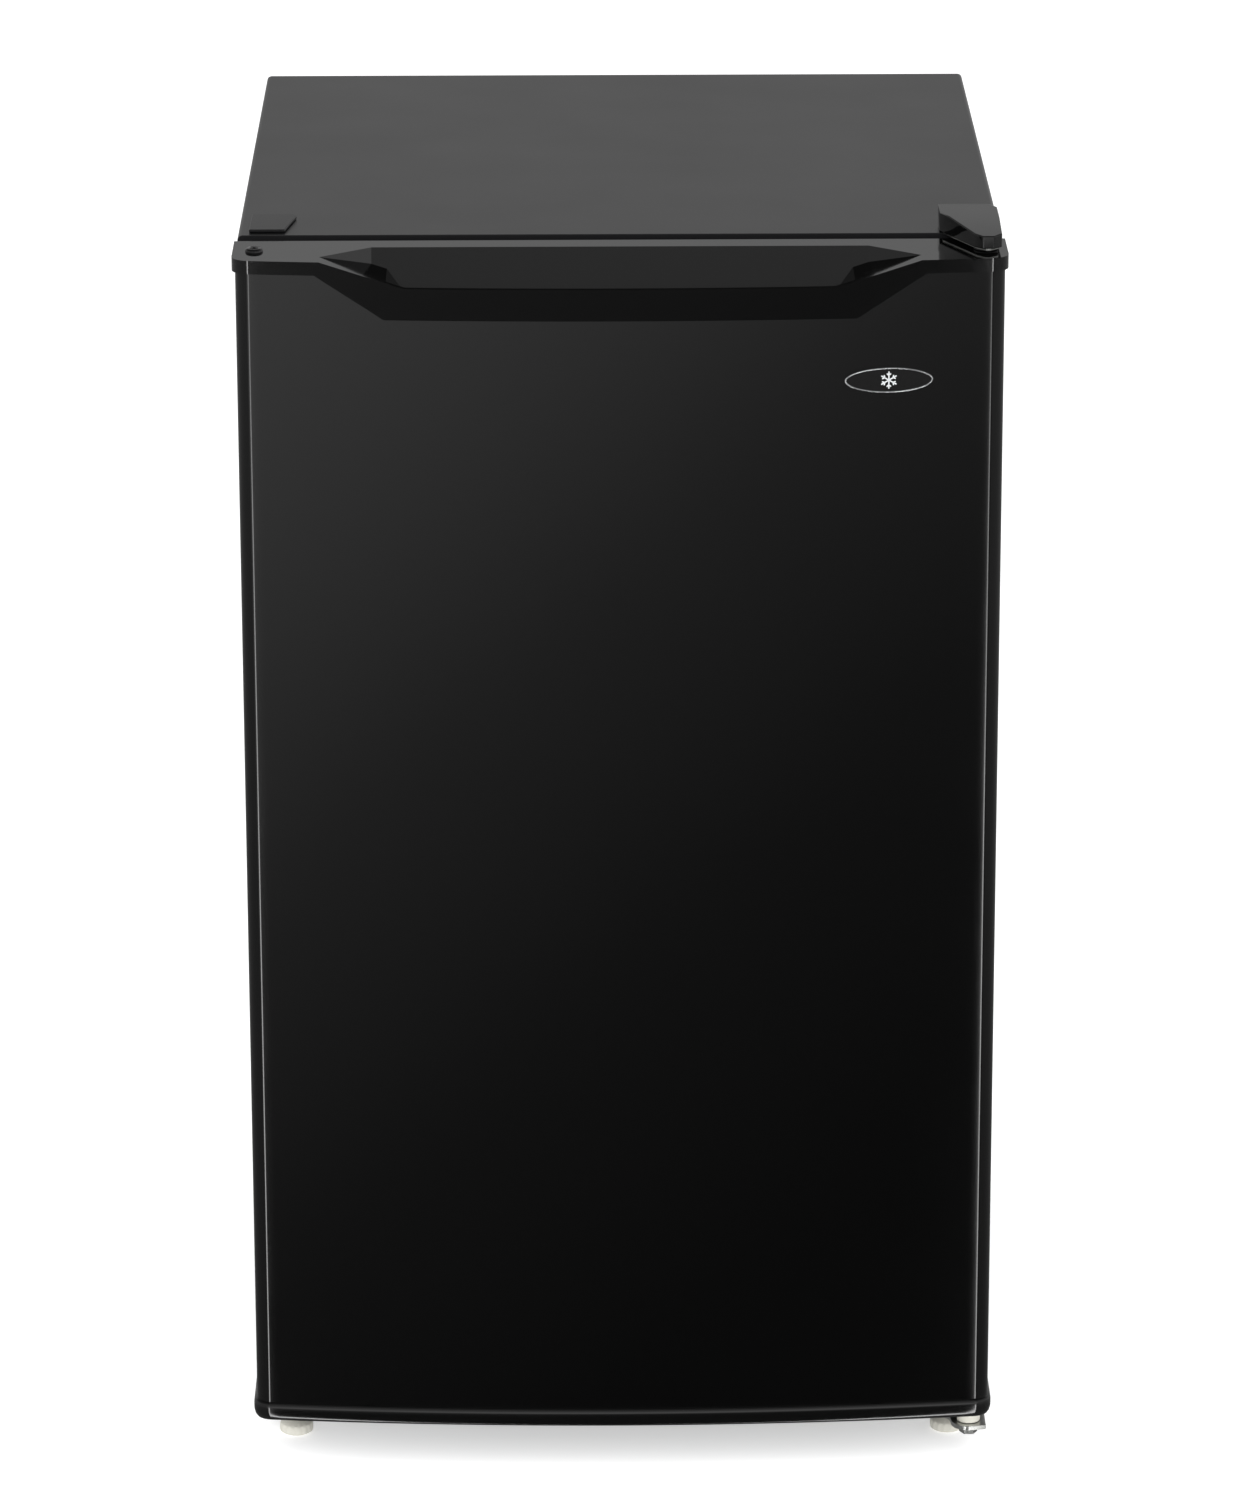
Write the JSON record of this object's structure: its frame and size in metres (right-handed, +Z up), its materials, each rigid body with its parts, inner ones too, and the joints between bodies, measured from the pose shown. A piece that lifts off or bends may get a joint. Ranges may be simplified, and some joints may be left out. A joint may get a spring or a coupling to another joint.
{
  "type": "mini fridge",
  "caption": "Black undercounter mini fridge: right-hinged bowed door with a moulded pocket handle, full-width freezer section, glass shelves, crisper, and rear compressor bay.",
  "frame": {"origin": "on the floor, under the middle of the whole appliance's box, with the door shut", "axes": "+Z up; the door faces -Y; +X to the right seen from the front, where the door is hinged"},
  "size_m": [0.473, 0.5206, 0.826],
  "materials": {
    "painted_steel": "satin",
    "door_steel": "satin",
    "zinc_steel": "satin",
    "tube_steel": "satin",
    "black_steel": "satin",
    "black_gloss": "gloss",
    "black_plastic": "satin",
    "white_plastic": "satin",
    "grey_plastic": "satin",
    "red_plastic": "satin",
    "clear_plastic": "gloss",
    "glass": "gloss",
    "foam": "matte",
    "rubber": "matte",
    "nylon": "satin",
    "copper": "satin",
    "aluminium": "satin",
    "chrome": "polished"
  },
  "bodies": {
    "cabinet": {"cabinet_shell": "painted_steel", "back_panel": "painted_steel", "base_pan": "zinc_steel", "compressor_bay_panel": "zinc_steel", "cabinet_foam": "foam", "cabinet_liner": "white_plastic", "condenser_coil_left": "tube_steel", "condenser_coil_right": "tube_steel", "hinge_hole_cap": "black_plastic", "top_hinge_cover": "black_gloss", "top_hinge_plate": "zinc_steel", "top_hinge_screw_1": "zinc_steel", "top_hinge_screw_2": "zinc_steel", "top_hinge_washer": "black_plastic", "bottom_hinge_plate": "zinc_steel", "bottom_hinge_pin": "zinc_steel", "bottom_hinge_spacer": "nylon", "bottom_hinge_screw_1": "zinc_steel", "bottom_hinge_screw_2": "zinc_steel", "rear_foot_left": "rubber", "rear_foot_right": "rubber", "compressor_rail": "zinc_steel", "compressor": "black_steel", "compressor_grommet_1": "rubber", "compressor_grommet_2": "rubber", "compressor_grommet_3": "rubber", "compressor_grommet_4": "rubber", "relay_cover": "black_plastic", "filter_drier": "copper", "suction_tube": "copper", "discharge_tube": "copper", "cord_gland": "black_plastic", "freezer_box": "aluminium", "freezer_frame": "white_plastic", "drip_tray": "clear_plastic", "shelf_upper_glass": "glass", "shelf_upper_trim": "white_plastic", "shelf_lower_glass": "glass", "shelf_lower_trim": "white_plastic", "crisper_cover": "glass", "crisper_drawer": "clear_plastic", "thermostat_housing": "white_plastic"},
    "door": {"door_panel": "door_steel", "door_top_cap": "black_gloss", "door_bottom_cap": "black_gloss", "door_foam": "foam", "door_liner": "white_plastic", "door_gasket": "rubber", "door_bush_bottom": "nylon", "hinge_hole_plug": "black_gloss", "badge_ring": "chrome", "badge_plate": "black_gloss", "door_bin_upper": "clear_plastic", "door_bin_middle": "clear_plastic", "bottle_rail": "clear_plastic"},
    "flap": {"freezer_flap": "white_plastic"},
    "knob": {"thermostat_knob": "grey_plastic"},
    "button": {"defrost_button": "red_plastic"},
    "foot_left": {"front_foot_left": "nylon"},
    "foot_right": {"front_foot_right": "nylon"}
  },
  "joints": [
    {"name": "door_hinge", "type": "hinge", "parent": "cabinet", "child": "door", "pos_m": [0.2232, -0.22375, 0.42], "axis": [0, 0, 1], "range_deg": [0, 130]},
    {"name": "flap_hinge", "type": "hinge", "parent": "cabinet", "child": "flap", "pos_m": [0, -0.04175, 0.742], "axis": [-1, 0, 0], "range_deg": [0, 85]},
    {"name": "thermostat_turn", "type": "hinge", "parent": "cabinet", "child": "knob", "pos_m": [0.169, -0.01775, 0.557], "axis": [0, 1, 0], "range_deg": [0, 300]},
    {"name": "defrost_press", "type": "slide", "parent": "knob", "child": "button", "axis": [0, 1, 0], "range_m": [0, 0.003], "stiffness_N_per_m": 400},
    {"name": "foot_left_turn", "type": "hinge", "parent": "cabinet", "child": "foot_left", "pos_m": [-0.213, -0.15775, 0], "axis": [0, 0, 1], "continuous": true},
    {"name": "foot_right_turn", "type": "hinge", "parent": "cabinet", "child": "foot_right", "pos_m": [0.213, -0.15775, 0], "axis": [0, 0, 1], "continuous": true}
  ]
}
